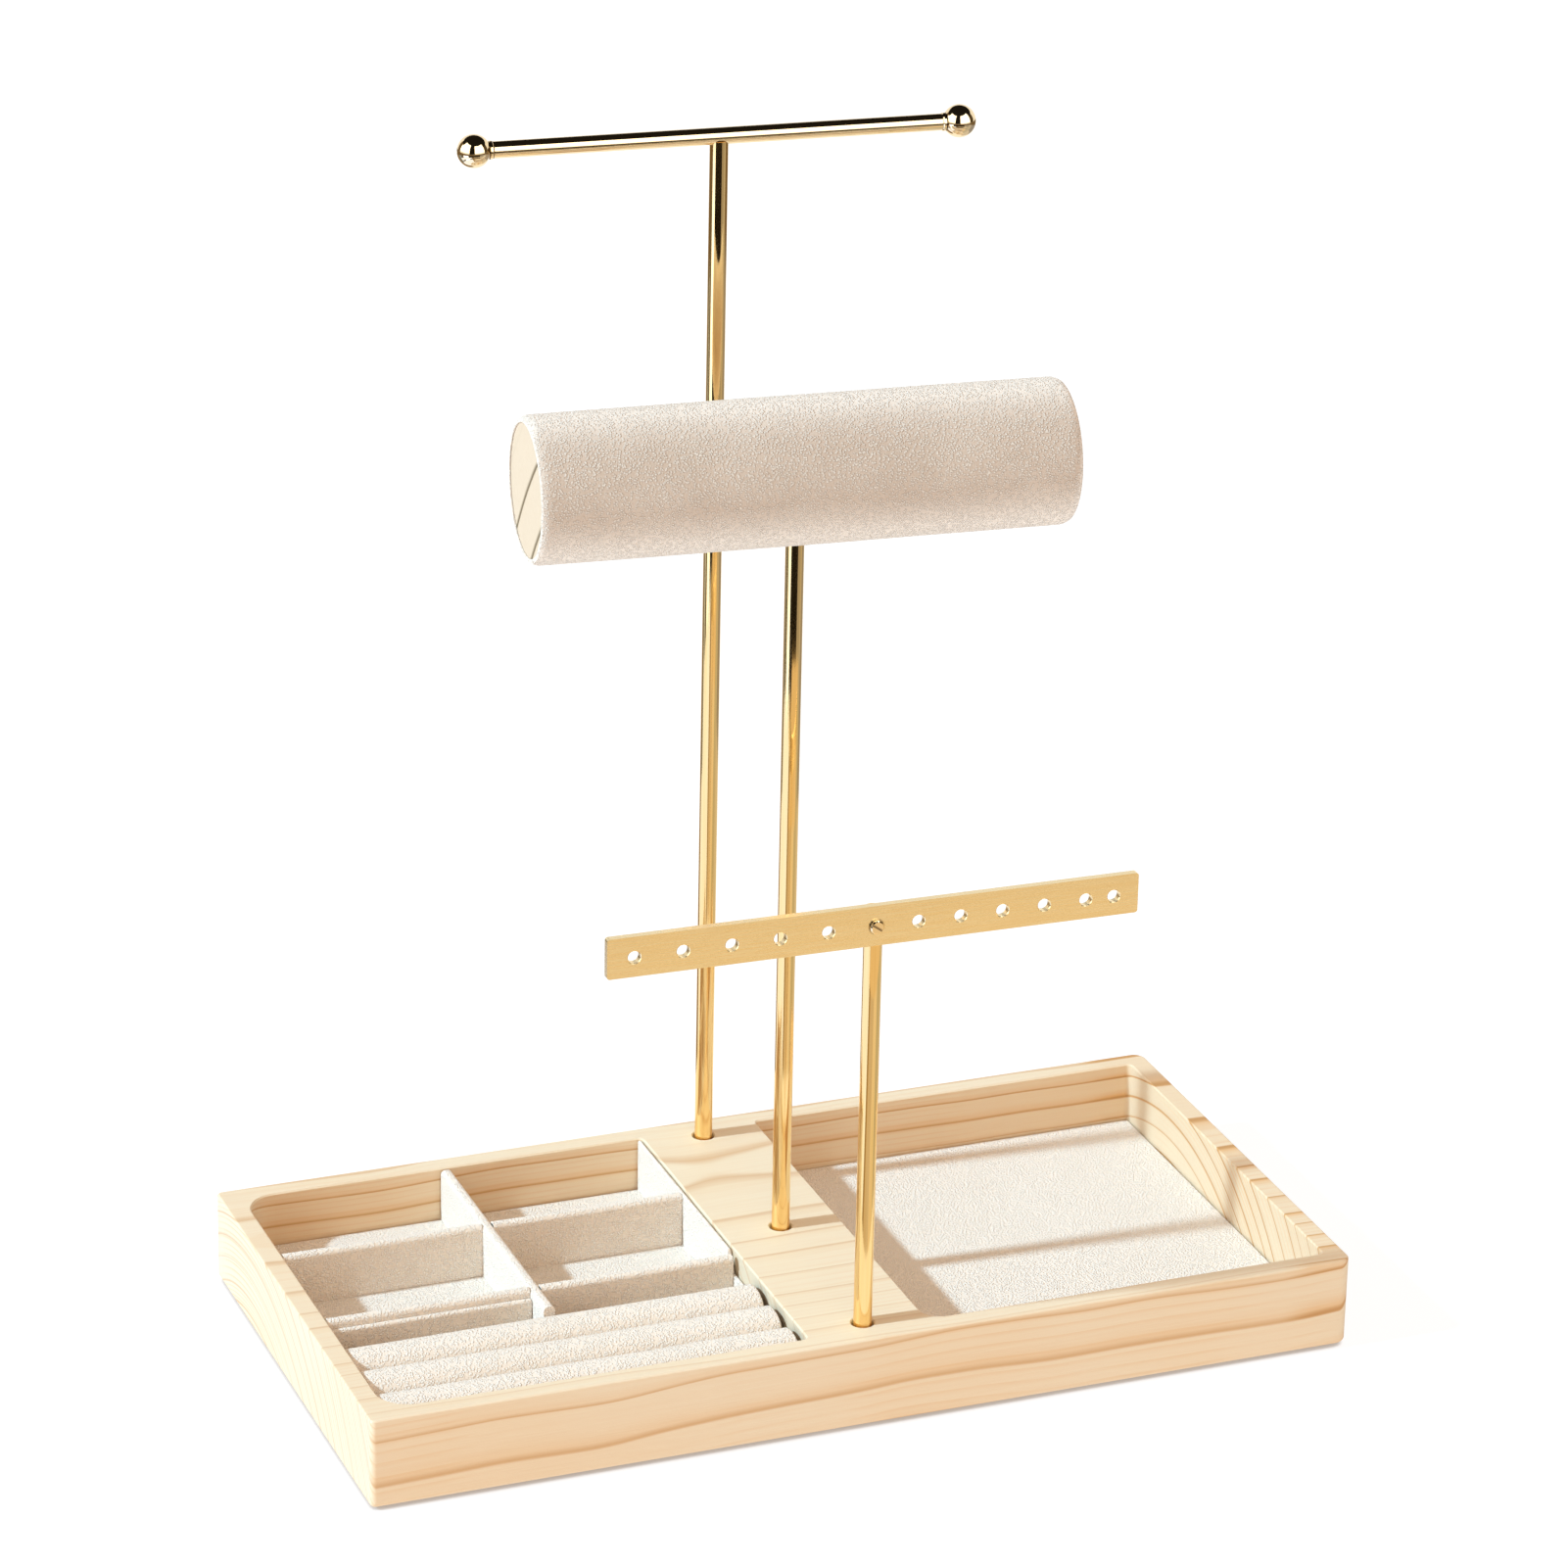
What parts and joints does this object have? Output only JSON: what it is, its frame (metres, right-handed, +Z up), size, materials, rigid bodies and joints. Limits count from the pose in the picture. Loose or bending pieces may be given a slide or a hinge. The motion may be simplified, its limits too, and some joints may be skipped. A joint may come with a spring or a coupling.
{
  "type": "jewellery stand",
  "caption": "Free-standing jewellery stand: routed wood tray base with a necklace crossbar, a padded bracelet roll and a drilled earring bar on three posts, a ring insert and a pad.",
  "frame": {"origin": "centre of the base's footprint, on the surface that the felt pads stand on", "axes": "+X along the base's length to the right, +Y to the back, +Z up"},
  "size_m": [0.2794, 0.1405, 0.3232],
  "materials": {
    "pine": "satin",
    "pale_wood": "satin",
    "brass_rod": "satin",
    "brushed_brass": "brushed",
    "cream_velvet": "matte",
    "beige_velvet": "matte",
    "felt": "matte",
    "foam": "matte",
    "card": "matte",
    "steel": "satin"
  },
  "bodies": {
    "tray": {"tray_base": "pine", "felt_pads": "felt", "post_washers": "steel"},
    "necklace_arm": {"necklace_post": "brass_rod", "necklace_post_screw": "steel", "necklace_crossbar": "brass_rod", "left_ball_finial": "brass_rod", "right_ball_finial": "brass_rod"},
    "bracelet_arm": {"bracelet_post": "brass_rod", "bracelet_post_screw": "steel", "roll_block": "pine", "roll_tube": "card", "roll_foam": "foam", "roll_velvet": "beige_velvet", "roll_left_cap": "pale_wood", "roll_right_cap": "pale_wood"},
    "earring_arm": {"earring_post": "brass_rod", "earring_post_screw": "steel", "earring_bar": "brushed_brass", "earring_bar_screw": "brushed_brass"},
    "ring_insert": {"insert_board": "card", "insert_lining": "cream_velvet", "long_divider_board": "card", "long_divider_velvet": "cream_velvet", "rear_divider_board": "card", "rear_left_divider_velvet": "cream_velvet", "rear_right_divider_velvet": "cream_velvet", "front_divider_board": "card", "front_left_divider_velvet": "cream_velvet", "front_right_divider_velvet": "cream_velvet", "front_left_strip": "cream_velvet", "right_side_strip": "cream_velvet", "front_ring_roll_foam": "foam", "front_ring_roll_velvet": "cream_velvet", "middle_ring_roll_foam": "foam", "middle_ring_roll_velvet": "cream_velvet", "rear_ring_roll_foam": "foam", "rear_ring_roll_velvet": "cream_velvet"},
    "tray_pad": {"pad_board": "card", "pad_velvet": "cream_velvet"}
  },
  "joints": [
    {"name": "necklace_arm_turn", "type": "hinge", "parent": "tray", "child": "necklace_arm", "pos_m": [0, 0.06, 0.0264], "axis": [0, 0, 1], "continuous": true},
    {"name": "bracelet_arm_turn", "type": "hinge", "parent": "tray", "child": "bracelet_arm", "pos_m": [0, 0, 0.0264], "axis": [0, 0, 1], "range_deg": [-60, 71]},
    {"name": "earring_arm_turn", "type": "hinge", "parent": "tray", "child": "earring_arm", "pos_m": [0, -0.06, 0.0264], "axis": [0, 0, 1], "range_deg": [-80, 80]},
    {"name": "ring_insert_lift", "type": "slide", "parent": "tray", "child": "ring_insert", "axis": [0, 0, 1], "range_m": [0, 0.04]},
    {"name": "tray_pad_lift", "type": "slide", "parent": "tray", "child": "tray_pad", "axis": [0, 0, 1], "range_m": [0, 0.04]}
  ]
}
